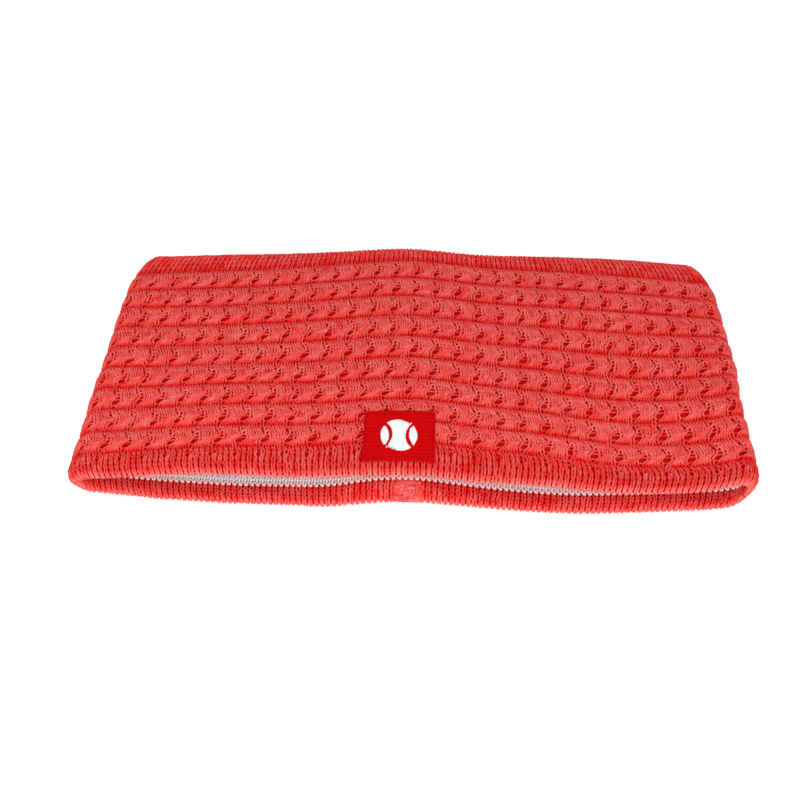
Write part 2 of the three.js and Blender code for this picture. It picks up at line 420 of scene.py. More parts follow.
@dataclass
class Pattern:
    """The textured stitch: eyelets, swaying wales, raised loops and deep valleys between the rows.

    Within a row, q is the number of courses above its first one, and the fields named for a wale count
    wales from there. Heights are the valley, crown, border_lift and raised_loop. The sways and the
    border_pairing are in wales, and row_wander and the fields named hollow are in courses. The widths,
    heights and reaches of the eyelet, slit and bulge are in millimetres.
    """

    ring: LaidRing
    section: KnitSection
    valley: float = -0.72
    crown: float = 0.55
    valley_q: float = 0.4
    hollow_below: float = 0.2
    hollow_reach: float = 0.5
    border_lift: float = 0.2
    wave_power: float = 0.55
    sway: float = 0.95
    border_sway: float = 0.5
    sway_power: float = 1.15
    sway_change: float = 0.12
    row_wander: float = 0.14
    eyelet_wale: int = 0
    eyelet_q: float = 1.9
    eyelet_open: float = 1.3
    eyelet_tall: float = 0.9
    eyelet_rise: float = 0.6
    eyelet_soft: float = 0.4
    eyelet_change: float = 0.15
    slit_q: float = 4.5
    slit_wale: float = -0.3
    slit_wide: float = 0.85
    slit_tall: float = 0.5
    slit_reach: float = 0.7
    bulge_q: float = 2.3
    bulge_wide: float = 1.3
    bulge_tall: float = 2.2
    bulge_reach: float = 0.4
    raised_course: int = 3
    raised_loop: float = 0.9
    border_pairing: float = 0.07

    def row_place(self, course: np.ndarray) -> tuple[np.ndarray, np.ndarray]:
        """Gives the pattern row that a course lies in, counted from 0, and how far up it is, 0 to 1.

        Args:
            course: Place across in courses.

        Returns:
            The row as a whole number, and the share of it that lies below.
        """
        gauge = self.ring.gauge
        row = (course - gauge.first_valley) / gauge.courses_per_cell
        return np.floor(row), row - np.floor(row)

    def across(self, wales: np.ndarray) -> np.ndarray:
        """Gives the distance in wales from the nearest column of eyelets.

        Args:
            wales: Place round the ring in wales.

        Returns:
            The distance, negative on the left.
        """
        per_cell = self.ring.gauge.wales_per_cell
        column = (wales - self.eyelet_wale) / per_cell
        return (column - np.round(column)) * per_cell

    def lift(self, course: np.ndarray) -> np.ndarray:
        """Gives the height of the rolling surface: a rounded ridge in each row, and level borders.

        Between two valleys it is valley + (crown - valley) sin(pi up)^power. Past the outermost valleys
        the same curve climbs to its top, lower than a crown, and stays there.

        Args:
            course: Place across in courses.

        Returns:
            The height above the knit's middle surface.
        """
        gauge = self.ring.gauge
        row = (course - gauge.first_valley - self.valley_q) / gauge.courses_per_cell
        outside = np.maximum(-row, row - gauge.cell_rows)
        inside_wave = np.abs(np.sin(math.pi * row))
        border_wave = np.sin(math.pi * np.clip(outside, 0, 0.5))
        wave = np.where(outside > 0, border_wave, inside_wave) ** self.wave_power
        top = np.where(outside > 0, self.border_lift, self.crown)
        return self.valley + (top - self.valley) * wave

    def warp(self, wales: np.ndarray, course: np.ndarray) -> tuple[np.ndarray, np.ndarray, np.ndarray]:
        """Moves a point of plain jersey to where the pattern holds it.

        In the rows the wales sway by sway sin^2(pi up^sway_power), are pushed apart at each eyelet, at the
        slit above it and round the bulge between them, and the courses wander a little. In the borders
        the legs of neighbouring stitches draw together in pairs.

        Args:
            wales: Place round the ring in wales.
            course: Place across in courses.

        Returns:
            The new wales and course, and the height above the knit's middle surface.
        """
        gauge, height, wale = self.ring.gauge, self.section.course_height, self.ring.wale
        row, up = self.row_place(course)
        in_rows = ((row >= 0) & (row < gauge.cell_rows)).astype(float)
        slit_rows = ((row >= -1) & (row < gauge.cell_rows)).astype(float)
        # Waves whose lengths share no round number, so that no two repeats come out alike.
        change = 1 + self.sway_change * (np.sin(0.37 * wales + 2.1 * row) + np.sin(0.61 * wales - 1.3 * row))
        wander = self.row_wander * (np.sin(0.083 * wales + 1.9 * row) + np.sin(0.31 * wales + 0.7 * row))
        below = smooth_step((gauge.first_valley + self.valley_q - course) / 2)
        leaning = np.sin(math.pi * up**self.sway_power) ** 2
        sway = in_rows * self.sway * change * leaning + self.border_sway * below
        dx = self.across(wales) * wale
        q = up * gauge.courses_per_cell
        push_x, push_y = self.eyelet(dx, (q - self.eyelet_q) * height, wales, row)
        part_x, part_y = self.push(
            dx - self.slit_wale * wale,
            (q - self.slit_q) * height,
            self.slit_wide,
            self.slit_tall,
            self.slit_reach,
        )
        bulge, _ = self.push(
            dx, (q - self.bulge_q) * height, self.bulge_wide, self.bulge_tall, self.bulge_reach
        )
        moved = wales - self.border_pairing * (1 - in_rows) * np.sin(TAU * wales)
        moved = moved + sway + slit_rows * part_x / wale + in_rows * (push_x + bulge) / wale
        risen = course + (in_rows * push_y + slit_rows * part_y) / height
        risen = risen + in_rows * wander * np.sin(math.pi * up) ** 2
        return moved, risen, self.lift(course)

    def eyelet(
        self, dx: np.ndarray, dy: np.ndarray, wales: np.ndarray, row: np.ndarray
    ) -> tuple[np.ndarray, np.ndarray]:
        """Opens an eyelet by bunching the legs of its repeat evenly to both sides.

        The push across is open tanh(dx / soft) (1 - |dx| / half a repeat) exp(-(dy / tall)^2 / 2), so the
        strands over and under it are drawn out level. Each eyelet opens a little differently, by a sine
        of its column and row.

        Args:
            dx: Distance from the eyelet's middle across.
            dy: The same, along.
            wales: Place round the ring in wales.
            row: The pattern row.

        Returns:
            The push across and along.
        """
        half = self.ring.gauge.wales_per_cell * self.ring.wale / 2
        column = np.round((wales - self.eyelet_wale) / self.ring.gauge.wales_per_cell)
        change = 1 + self.eyelet_change * np.sin(2.4 * column + 5.1 * row)
        fall = np.exp(-0.5 * (dy / self.eyelet_tall) ** 2)
        across = self.eyelet_open * change * np.tanh(dx / self.eyelet_soft) * (1 - np.abs(dx) / half) * fall
        near = np.exp(-0.5 * (dx / self.ring.wale) ** 2)
        return across, self.eyelet_rise * dy * near * np.exp(-0.5 * dy**2)

    def hollow(self, course: np.ndarray) -> np.ndarray:
        """Says how near a place in courses lies to a valley's bottom: 1 in it, falling off as a Gaussian.

        Args:
            course: Place across in courses.

        Returns:
            A share for each place.
        """
        gauge = self.ring.gauge
        row = (course - gauge.first_valley - self.valley_q + self.hollow_below) / gauge.courses_per_cell
        away = (row - np.clip(np.round(row), 0, gauge.cell_rows)) * gauge.courses_per_cell
        return np.exp(-((away / self.hollow_reach) ** 2))

    def raised(self, wale: np.ndarray, course: int) -> np.ndarray:
        """Says which stitches of a course lift their heads clear of the legs.

        Args:
            wale: The stitches' numbers round the ring.
            course: The course's number.

        Returns:
            A height for each stitch.
        """
        gauge = self.ring.gauge
        row, place = divmod(course - gauge.first_valley, gauge.courses_per_cell)
        if not -1 <= row < gauge.cell_rows or place != self.raised_course:
            return np.zeros(len(wale))
        return np.where((wale - self.eyelet_wale) % gauge.wales_per_cell == 0, self.raised_loop, 0.0)

    @staticmethod
    def push(
        dx: np.ndarray, dy: np.ndarray, wide: float, tall: float, reach: float
    ) -> tuple[np.ndarray, np.ndarray]:
        """Pushes points away from a centre, most at one standard deviation, falling off as a Gaussian.

        Args:
            dx: Distance from the centre across.
            dy: Distance from the centre along.
            wide: Distance across at which the push is strongest.
            tall: The same, along.
            reach: The strongest push.

        Returns:
            The push across and along.
        """
        u, v = dx / wide, dy / tall
        fall = np.exp(0.5 - 0.5 * (u * u + v * v))
        return reach * u * fall, reach * v * fall


# ------------------------------------------------------------------ meshes


@dataclass
class MeshParts:
    """Points, faces and map coordinates gathered for one object.

    The twist map runs along a thread in turns of its ply and round it once. The bake map gives every
    stretch of thread its own patch of the image, with a margin round it. The height says how far each
    point stands out of the cloth, and sets its painted light and shade, so that the top of each thread is
    painted lighter than its underside; round_tone is its rise in one radius of thread.
    """

    end_width: float = 0.04
    round_tone: float = 2.6
    margin_along: float = 0.03
    margin_round: float = 0.05
    points: list[np.ndarray] = field(default_factory=list)
    quads: list[np.ndarray] = field(default_factory=list)
    bake: list[np.ndarray] = field(default_factory=list)
    twist: list[np.ndarray] = field(default_factory=list)
    heights: list[np.ndarray] = field(default_factory=list)
    count: int = 0

    def add_tube(
        self,
        centre: np.ndarray,
        outward: np.ndarray,
        radius: float | np.ndarray,
        sides: int,
        closed: bool = False,
        pitch: float = 2.4,
        lane: tuple[int, int] = (0, 1),
        folds: int = 1,
        height: float | np.ndarray = 0.6,
    ) -> None:
        """Adds a tube along a line of centres.

        Around each centre stands a regular polygon in the plane across the line, its first corner towards
        outward. The rings are joined by quads, and an open tube narrows to a point at each end.

        Args:
            centre: Points of the line, n by 3.
            outward: A direction at each point that is never along the line.
            radius: The tube's radius, for all points or each.
            sides: Corners of the polygon.
            closed: True if the last ring joins the first.
            pitch: Length of thread in one turn of its ply.
            lane: The tube's lane in the bake map, and how many lanes there are.
            folds: How many rows of the bake map its length is laid in.
            height: How far its line stands out of the cloth, for all points or each.
        """
        radius = np.broadcast_to(radius, len(centre)).copy()
        if closed:
            ahead, behind = np.roll(centre, -1, axis=0), np.roll(centre, 1, axis=0)
        else:
            radius[[0, -1]] = radius[[0, -1]] * self.end_width
            ahead = np.concatenate([centre[1:], centre[-1:]])
            behind = np.concatenate([centre[:1], centre[:-1]])
        n = len(centre)
        tangent = unit(ahead - behind)
        beside = unit(np.cross(tangent, outward))
        normal = np.cross(beside, tangent)
        angle = np.arange(sides) * TAU / sides
        spoke = normal[:, None] * np.cos(angle)[:, None] + beside[:, None] * np.sin(angle)[:, None]
        rings = centre[:, None] + spoke * radius[:, None, None]
        self.points.append(rings.reshape(-1, 3))
        # Painted shade: the side of the thread that faces the cloth is painted darker, and the outer side
        # lighter.
        standing = np.broadcast_to(height, n)[:, None] + self.round_tone * radius[:, None] * np.cos(angle)
        self.heights.append(standing.ravel())
        rows = n if closed else n - 1
        i = np.arange(rows)[:, None]
        k = np.arange(sides)[None, :]
        j, m = (i + 1) % n, (k + 1) % sides
        faces = np.stack([i * sides + k, j * sides + k, j * sides + m, i * sides + m], axis=-1)
        self.quads.append((self.count + faces).reshape(-1, 4))
        steps = np.linalg.norm(ahead - centre, axis=1)
        travelled = np.concatenate([[0], np.cumsum(steps)]) / pitch
        here, there = travelled[i] + 0 * k, travelled[i + 1] + 0 * k
        low, high = k / sides + 0 * i, (k + 1) / sides + 0 * i
        self.twist.append(self.corners(here, there, low, high))
        fold = i * folds // rows
        start, end = i * folds / rows - fold, (i + 1) * folds / rows - fold
        long_share, round_share = 1 - 2 * self.margin_along, 1 - 2 * self.margin_round
        from_lane = lane[0] + self.margin_along
        across = [(from_lane + long_share * part) / lane[1] + 0 * k for part in (start, end)]
        up = [(fold + self.margin_round + round_share * part) / folds for part in (low, high)]
        self.bake.append(self.corners(*across, *up))
        self.count += n * sides
        if not closed:
            self.cap(self.count - n * sides, sides, lane)
            self.cap(self.count - sides, -sides, lane)

    def cap(self, first: int, sides: int, lane: tuple[int, int]) -> None:
        """Closes a tube's end with one flat polygon, drawn as triangles that share a corner.

        Args:
            first: The number of the first point of the tube's last ring.
            sides: Corners of the polygon, negative to turn its face the other way.
            lane: The tube's lane in the bake map, and how many lanes there are.
        """
        count = abs(sides)
        ring = first + np.arange(count)
        fan = [[ring[0], ring[k + 2], ring[k + 1], ring[k + 1]] for k in range(count - 2)]
        faces = np.array(fan if sides > 0 else [[f[0], f[2], f[1], f[1]] for f in fan])
        self.quads.append(faces)
        flat = np.full((len(faces), 4, 2), (lane[0] + 0.5) / lane[1])
        self.twist.append(flat)
        self.bake.append(flat)

    @staticmethod
    def corners(u0: np.ndarray, u1: np.ndarray, v0: np.ndarray, v1: np.ndarray) -> np.ndarray:
        """Gives the map coordinates of each quad's four corners."""
        pairs = [(u0, v0), (u1, v0), (u1, v1), (u0, v1)]
        return np.stack([np.stack(pair, axis=-1) for pair in pairs], axis=-2).reshape(-1, 4, 2)

    def build(self, name: str) -> bpy.types.Object:
        """Makes the object, smooth shaded and in metres. A quad whose last two corners match is a triangle.

        Args:
            name: The piece's name.

        Returns:
            The new object, linked to the scene.
        """
        points = np.concatenate(self.points) * MM
        quads = np.concatenate(self.quads)
        corners = np.full(len(quads), 4)
        thin = quads[:, 2] == quads[:, 3]
        corners[thin] = 3
        kept = np.ones(quads.shape, bool)
        kept[thin, 3] = False
        mesh = bpy.data.meshes.new(name)
        mesh.vertices.add(len(points))
        mesh.vertices.foreach_set("co", points.astype(np.float32).ravel())
        mesh.loops.add(int(corners.sum()))
        mesh.loops.foreach_set("vertex_index", quads[kept].astype(np.int32))
        mesh.polygons.add(len(quads))
        starts = np.concatenate([[0], np.cumsum(corners)[:-1]]).astype(np.int32)
        mesh.polygons.foreach_set("loop_start", starts)
        mesh.update(calc_edges=True)
        for title, pieces in ((TWIST_MAP, self.twist), (BAKE_MAP, self.bake)):
            if pieces:
                layer = mesh.uv_layers.new(name=title)
                layer.uv.foreach_set("vector", np.concatenate(pieces)[kept].astype(np.float32).ravel())
        if self.heights:
            layer = mesh.attributes.new(HEIGHT_MAP, "FLOAT", "POINT")
            layer.data.foreach_set("value", np.concatenate(self.heights).astype(np.float32))
        mesh.polygons.foreach_set("use_smooth", np.ones(len(mesh.polygons), bool))
        made = bpy.data.objects.new(name, mesh)
        bpy.context.scene.collection.objects.link(made)
        return made


def wrapped_grid(name: str, points: np.ndarray) -> bpy.types.Object:
    """Makes a closed mesh of a grid of points that closes on itself both ways.

    Args:
        name: The piece's name.
        points: Columns by rows by 3; both directions wrap round.

    Returns:
        The new object.
    """
    columns, rows = points.shape[:2]
    i, k = np.meshgrid(np.arange(columns), np.arange(rows), indexing="ij")
    j, m = (i + 1) % columns, (k + 1) % rows
    parts = MeshParts()
    parts.points.append(points.reshape(-1, 3))
    cells = np.stack([i * rows + k, j * rows + k, j * rows + m, i * rows + m], axis=-1)
    parts.quads.append(cells.reshape(-1, 4))
    parts.bake.append(parts.corners(i / columns, (i + 1) / columns, k / rows, (k + 1) / rows))
    return parts.build(name)


# ------------------------------------------------------------------ finishes


def add_node(
    tree: bpy.types.NodeTree, kind: str, settings: dict | None = None, **links: bpy.types.NodeSocket
) -> bpy.types.Node:
    """Adds a node, sets its properties and input values, and links its inputs.

    Args:
        tree: The material's node tree.
        kind: The node's type name.
        settings: Properties of the node, or input sockets by name or number, with their values.
        links: Input sockets, by name with _ for a space or as _ and a number, and what feeds them.

    Returns:
        The new node.
    """
    node = tree.nodes.new(kind)
    for key, value in (settings or {}).items():
        if isinstance(key, int) or key in node.inputs:
            node.inputs[key].default_value = value
        else:
            setattr(node, key, value)
    for key, source in links.items():
        tree.links.new(source, node.inputs[int(key[1:]) if key[1:].isdigit() else key.replace("_", " ")])
    return node


def new_material(name: str, settings: dict) -> tuple[bpy.types.Material, bpy.types.NodeTree, bpy.types.Node]:
    """Makes a material with its shader's plain settings.

    Args:
        name: The material's name.
        settings: Input sockets of its shader, with their values.

    Returns:
        The material, its node tree and its shader.
    """
    material = bpy.data.materials.new(name)
    material.use_nodes = True
    shader = material.node_tree.nodes["Principled BSDF"]
    for key, value in settings.items():
        shader.inputs[key].default_value = value
    return material, material.node_tree, shader


@dataclass(frozen=True)
class YarnFinish:
    """Spun and plied yarn: matt, with a sheen of loose fibres, and a painted pale highlight where it stands
    highest.

    Two plies wind round each other, fine fibres run along them, and the dye takes a little unevenly.
    Some light passes through the fibres, red furthest, so that the gaps between stitches glow deep red
    instead of black. Lengths are in millimetres: glow_reach, ply_depth, fibre_depth, and the sizes of
    fibres and patches of dye. The tone is painted light and shade: it runs from deep, the shaded colour,
    at lowest to light, the lit colour, at highest, and from there to the haze, a painted highlight, over
    haze_reach, on the scale of the map named Height.
    """

    name: str
    # deep is the painted shade colour, light the lit colour, and haze the pale painted highlight that also
    # tints the sheen.
    deep: str
    light: str
    haze: str
    sheen: float = 0.12
    glow: float = 0.25
    glow_reach: float = 0.6
    glow_colour: tuple[float, float, float] = (1.0, 0.3, 0.25)
    plies: int = 2
    ply_tone: float = 0.25
    ply_depth: float = 0.1
    fibre_depth: float = 0.05
    fibre_size: float = 0.35
    patch_size: float = 7.0
    lowest: float = 0.1
    highest: float = 2.0
    haze_reach: float = 1.6
    uneven: float = 1.0
    uneven_middle: float = 1.15

    def build(self) -> bpy.types.Material:
        """Makes the material.

        Its tone, painted light and shade, grows with the map named Height, and its ply pattern follows the
        yarn through the map named Twist.

        Returns:
            The material.
        """
        material, tree, shader = new_material(
            self.name,
            {
                "Roughness": 0.9,
                "Specular IOR Level": 0.06,
                "Sheen Weight": self.sheen,
                "Sheen Roughness": 0.5,
                "Sheen Tint": linear(self.haze),
                "Subsurface Weight": self.glow,
                "Subsurface Radius": self.glow_colour,
                "Subsurface Scale": self.glow_reach * MM,
            },
        )
        place = add_node(tree, "ShaderNodeTexCoord").outputs["Object"]
        twist = add_node(tree, "ShaderNodeUVMap", {"uv_map": TWIST_MAP}).outputs["UV"]
        split = add_node(tree, "ShaderNodeSeparateXYZ", Vector=twist)
        # A ply's ridge stands where the way round the yarn matches the turns made along it.
        apart = add_node(
            tree, "ShaderNodeMath", {"operation": "SUBTRACT"}, _0=split.outputs[1], _1=split.outputs[0]
        )
        turned = add_node(
            tree, "ShaderNodeMath", {"operation": "MULTIPLY", 1: math.pi * self.plies}, _0=apart.outputs[0]
        )
        wave = add_node(tree, "ShaderNodeMath", {"operation": "COSINE"}, _0=turned.outputs[0])
        ridge = add_node(tree, "ShaderNodeMath", {"operation": "ABSOLUTE"}, _0=wave.outputs[0])
        dye = {"Scale": per_metre(self.patch_size), "Detail": 2.0}
        patches = add_node(tree, "ShaderNodeTexNoise", dye, Vector=place)
        spun = {"Scale": per_metre(self.fibre_size), "Detail": 3.0}
        fibres = add_node(tree, "ShaderNodeTexNoise", spun, Vector=place)
        uneven = add_node(
            tree, "ShaderNodeMath", {"operation": "ADD"}, _0=patches.outputs[0], _1=fibres.outputs[0]
        )
        # The ply ridges are painted lighter than the grooves between them, a painted shade, and patches of
        # dye and fibres vary the tone at random.
        shaded = add_node(
            tree,
            "ShaderNodeMath",
            {"operation": "MULTIPLY_ADD", 1: self.ply_tone},
            _0=ridge.outputs[0],
            _2=uneven.outputs[0],
        )
        # Painted light and shade: points low in the cloth take the deep colour, and high ones the light
        # colour.
        height = add_node(tree, "ShaderNodeAttribute", {"attribute_name": HEIGHT_MAP}).outputs["Fac"]
        level = add_node(
            tree,
            "ShaderNodeMath",
            {"operation": "MULTIPLY_ADD", 1: self.uneven},
            _0=shaded.outputs[0],
            _2=height,
        )
        middle = self.uneven_middle * self.uneven
        low, high = middle + self.lowest, middle + self.highest
        tone = add_node(
            tree, "ShaderNodeMapRange", {"From Min": low, "From Max": high}, Value=level.outputs[0]
        )
        colour = add_node(
            tree,
            "ShaderNodeMix",
            {"data_type": "RGBA", 6: linear(self.deep), 7: linear(self.light)},
            Factor=tone.outputs[0],
        )
        # Painted highlight: past highest the colour pales towards the haze.
        painted_sheen = add_node(
            tree,
            "ShaderNodeMapRange",
            {"From Min": high, "From Max": high + self.haze_reach},
            Value=level.outputs[0],
        )
        hazed = add_node(
            tree,
            "ShaderNodeMix",
            {"data_type": "RGBA", 7: linear(self.haze)},
            Factor=painted_sheen.outputs[0],
            _6=colour.outputs[2],
        )
        tree.links.new(hazed.outputs[2], shader.inputs["Base Color"])
        plied = add_node(
            tree,
            "ShaderNodeBump",
            {"Strength": 0.7, "Distance": self.ply_depth * MM},
            Height=ridge.outputs[0],
        )
        fine = add_node(
            tree,
            "ShaderNodeBump",
            {"Strength": 0.6, "Distance": self.fibre_depth * MM},
            Height=fibres.outputs[0],
            Normal=plied.outputs[0],
        )
        tree.links.new(fine.outputs[0], shader.inputs["Normal"])
        return material


@dataclass(frozen=True)
class WovenFinish:
    """Woven polyester of a label: fine level ribs, matt along them.

    The threads are drawn 0.7 mm apart, coarser than real ones, so that they show, and the dye is uneven
    over patches of 1.2 mm.
    """

    name: str
    deep: str
    light: str
    thread: float = 0.7
    depth: float = 0.08
    patch_size: float = 1.2

    def build(self) -> bpy.types.Material:
        """Makes the material, its threads on object coordinates.

        Returns:
            The material.
        """
        material, tree, shader = new_material(self.name, {"Roughness": 0.8, "Specular IOR Level": 0.05})
        place = add_node(tree, "ShaderNodeTexCoord").outputs["Object"]
        # At a scale of 1 the bands repeat every pi / 10, and two threads fill one repeat.
        warp = add_node(
            tree,
            "ShaderNodeTexWave",
            {
                "bands_direction": "Y",
                "Scale": per_metre(self.thread) / 20 * math.pi,
                "Distortion": 1.0,
                "Detail": 1.0,
            },
            Vector=place,
        )
        dye = {"Scale": per_metre(self.patch_size), "Detail": 4.0}
        uneven = add_node(tree, "ShaderNodeTexNoise", dye, Vector=place)
        tone = add_node(
            tree,
            "ShaderNodeMath",
            {"operation": "MULTIPLY_ADD", 1: 0.4},
            _0=warp.outputs[1],
            _2=uneven.outputs[0],
        )
        spread = add_node(
            tree, "ShaderNodeMapRange", {"From Min": 0.4, "From Max": 1.0}, Value=tone.outputs[0]
        )
        colour = add_node(
            tree,
            "ShaderNodeMix",
            {"data_type": "RGBA", 6: linear(self.deep), 7: linear(self.light)},
            Factor=spread.outputs[0],
        )
        tree.links.new(colour.outputs[2], shader.inputs["Base Color"])
        bump = add_node(
            tree, "ShaderNodeBump", {"Strength": 0.6, "Distance": self.depth * MM}, Height=tone.outputs[0]
        )
        tree.links.new(bump.outputs[0], shader.inputs["Normal"])
        return material


# ------------------------------------------------------------------ sewn pieces


def dress(piece: bpy.types.Object, material: bpy.types.Material) -> bpy.types.Object:
    """Gives a piece its material, and lets it ride on the band.

    Args:
        piece: The finished piece.
        material: Its material.

    Returns:
        The same piece.
    """
    piece.data.materials.clear()
    piece.data.materials.append(material)
    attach(piece, BODY)
    LOG.info("%s: %d faces", piece.name, len(piece.data.polygons))
    return piece


@dataclass(frozen=True)
class LoopShape:
    """One knitted loop: its head, two legs and half of each neighbouring foot.

    With t the turn along the loop, the strand lies at t/2pi + bow sin 2t across, tall cos t along and
    -deep cos 2t in height, so the two legs stand in front and the head and feet lie behind.
    """

    bow: float = 0.135
    tall: float = 0.95
    deep: float = 0.34

    def turns(self, wales: int, front_points: int, back_points: int, spare: int = 3) -> np.ndarray:
        """Spreads points along a whole course, closer on the front half of the ring.

        Args:
            wales: Stitches round the ring.
            front_points: Points for a stitch of the front layer.
            back_points: Points for a stitch of the back layer.
            spare: Stitches past each fold that count as front.

        Returns:
            The turn along the strand at each point, 2 pi for a stitch.
        """
        stitch = np.arange(wales)
        front = np.minimum(stitch, wales - stitch) <= wales / 4 + spare
        counts = np.where(front, front_points, back_points)
        which = np.repeat(stitch, counts)
        place = np.arange(counts.sum()) - np.repeat(np.cumsum(counts) - counts, counts)
        return (which + place / counts[which]) * TAU

    def strand(self, t: np.ndarray) -> tuple[np.ndarray, np.ndarray, np.ndarray]:
        """Gives the strand's place at each turn.

        Args:
            t: The turn along the strand, 2 pi for a stitch.

        Returns:
            The place in wales, the courses above the stitch's middle, and the height.
        """
        return t / TAU + self.bow * np.sin(2 * t), self.tall * np.cos(t), -self.deep * np.cos(2 * t)


@dataclass
class OuterKnit:
    """The textured outer knit: a closed cloth and the looped strand of every course on it.

    The fields named ground place the thin cloth under the loops. The fields that set a strand's height set
    its
    colour too, as painted light and shade: rolling_tone paints the crowns lighter and the valleys deeper, the
    valley fields paint shade along the valley bottoms, the rim fields paint a pale sheen along the rims, the
    border field darkens the borders, and dye_change varies each stitch at random. Those named arch, dip
    and held stretch the front layer towards the upper rim.
    """

    ring: LaidRing
    section: KnitSection
    pattern: Pattern
    loop: LoopShape = field(default_factory=LoopShape)
    first_wale: float = -0.98
    front_points: int = 10
    back_points: int = 7
    sides: int = 5
    unevenness: float = 0.1
    dye_change: float = 0.22
    head_power: float = 1.5
    edge_over: float = 0.2
    ground: float = -0.95
    ground_thickness: float = 0.3
    ground_follow: float = 0.45
    ground_top: float = 0.1
    ground_rim: float = 0.6
    ground_rim_reach: float = 1.6
    fold_ease: float = 0.45
    rolling_tone: float = 0.35
    rim_painted_sheen: float = 1.7
    rim_painted_sheen_reach: float = 0.45
    border_darkening: float = 0.3
    valley_painted_shade: float = 0.85
    valley_change: float = 0.8
    arch: float = 4.2
    arch_reach: float = 70.0
    dip: float = 3.0
    dip_bend: float = 3.3
    dip_at: float = 0.3
    held_rim: float = 0.15

    def point(self, wales: np.ndarray, course: np.ndarray, lift: np.ndarray) -> np.ndarray:
        """Gives the point that stands lift above the knit's path.

        Args:
            wales: Place round the ring in wales.
            course: Place across in courses.
            lift: Height above the knit's middle surface.

        Returns:
            Points in millimetres.
        """
        depth, y = self.section.at(course, lift)
        along = (wales + self.first_wale) * self.ring.wale
        return self.ring.place(along, depth, y + self.stretch(along, depth, y))

    def stretch(self, along: np.ndarray, depth: np.ndarray, y: np.ndarray) -> np.ndarray:
        """Says how far the front of the knit is stretched towards the upper rim, between rims that hold.

        It is arch exp(-(x / reach)^2) - dip + bend (v - at)^2, v being y over half the height.

        Args:
            along: Distance round the ring from the centre front.
            depth: Depth below the outer surface.
            y: Height between the rims, 0 halfway.

        Returns:
            The distance to add to y.
        """
        x, _, side = self.ring.around(along, depth)
        v = y / self.ring.rim_y
        arched = self.arch * np.exp(-((x / self.arch_reach) ** 2))
        moved = arched - self.dip + self.dip_bend * (v - self.dip_at) ** 2
        return moved * smooth_step((1 - np.abs(v)) / self.held_rim) * smooth_step((1 + side) / 2)

    def strand(self, course: int) -> tuple[np.ndarray, np.ndarray, np.ndarray]:
        """Works out one course of loops.

        The rolling of the rows is eased where the band folds, by fold_ease cos^2 of the turn round the
        fold. The height sets the strand's painted light and shade. It is the strand's own lift, part of the
        rolling, a drop that paints shade into the valleys, a rise that paints a pale sheen along the rims, a
        drop that darkens the borders, and a little at random for each stitch.

        Args:
            course: The course's number, counted from the lower turned-in edge.

        Returns:
            The strand's centre line, the direction away from the cloth along it, and its height, which sets
            its painted light and shade.
        """
        gauge = self.ring.gauge
        wales_round = gauge.wales
        t = self.loop.turns(wales_round, self.front_points, self.back_points)
        wales, along, lift = self.loop.strand(t)
        rng = np.random.default_rng(course)
        leg = np.sin(t / 2) ** 2
        stitch = (t / TAU).astype(int) % wales_round
        wales = wales + self.unevenness * rng.standard_normal(wales_round)[stitch] * leg
        lift = lift + self.unevenness * rng.standard_normal(wales_round)[stitch] * leg
        head_of = np.round(t / TAU).astype(int) % wales_round
        head = np.clip(np.cos(t), 0, 1) ** self.head_power
        lift = lift + self.pattern.raised(head_of, course) * head
        moved, risen, rolling = self.pattern.warp(wales, course + 0.5 + along)
        _, _, side = self.ring.around((moved + self.first_wale) * self.ring.wale, 0.0)
        rolling = rolling * (1 - self.fold_ease * (1 - side**2))
        centre = self.point(moved, risen, rolling + lift)
        outward = unit(self.point(moved, risen, rolling + lift + NUDGE) - centre)
        chance = rng.standard_normal(wales_round)[stitch]
        # Painted sheen: legs near each rim are painted paler and pinker.
        near_rim = np.exp(-((self.to_rim(risen) / self.rim_painted_sheen_reach) ** 2))
        painted_sheen = self.rim_painted_sheen * near_rim * np.sin(t) ** 2
        # The border courses are painted darker.
        border = smooth_step(gauge.first_valley - risen) + smooth_step(risen - gauge.last_valley)
        # The height is painted light and shade: legs in front, raised heads and crowns lighter, heads behind
        # and valleys deeper, plus a random tone for each stitch.
        height = lift + self.rolling_tone * rolling + painted_sheen + self.dye_change * chance
        # Painted shade along the valley bottoms, deeper or lighter at random for each stitch.
        sunk = self.valley_painted_shade * (1 + self.valley_change * chance) * self.pattern.hollow(risen)
        return centre, outward, height - self.border_darkening * border - sunk

    def to_rim(self, course: np.ndarray) -> np.ndarray:
        """Gives the distance in courses from the nearer rim.

        Args:
            course: Place across in courses.

        Returns:
            The distance for each place.
        """
        gauge = self.ring.gauge
        rim = gauge.facing_courses + gauge.rim_courses / 2
        return np.minimum(np.abs(course - rim), np.abs(course - gauge.courses + rim))

    def bands(self) -> list[tuple[str, int, int]]:
        """Names the stretches of courses that make one object each.

        Returns:
            Each one's name, its first course and the course after its last.
        """
        gauge = self.ring.gauge
        first, last = gauge.first_valley, gauge.last_valley
        edge = gauge.facing_courses + gauge.rim_courses
        found = [("lower_hem_courses", 0, edge), ("lower_border_courses", edge, first)]
        for row in range(gauge.cell_rows):
            start = first + row * gauge.courses_per_cell
            found.append((f"eyelet_row_{row + 1}", start, start + gauge.courses_per_cell))
        found += [
            ("upper_border_courses", last, last + gauge.upper_border),
            ("upper_hem_courses", last + gauge.upper_border, gauge.courses),
        ]
        return found

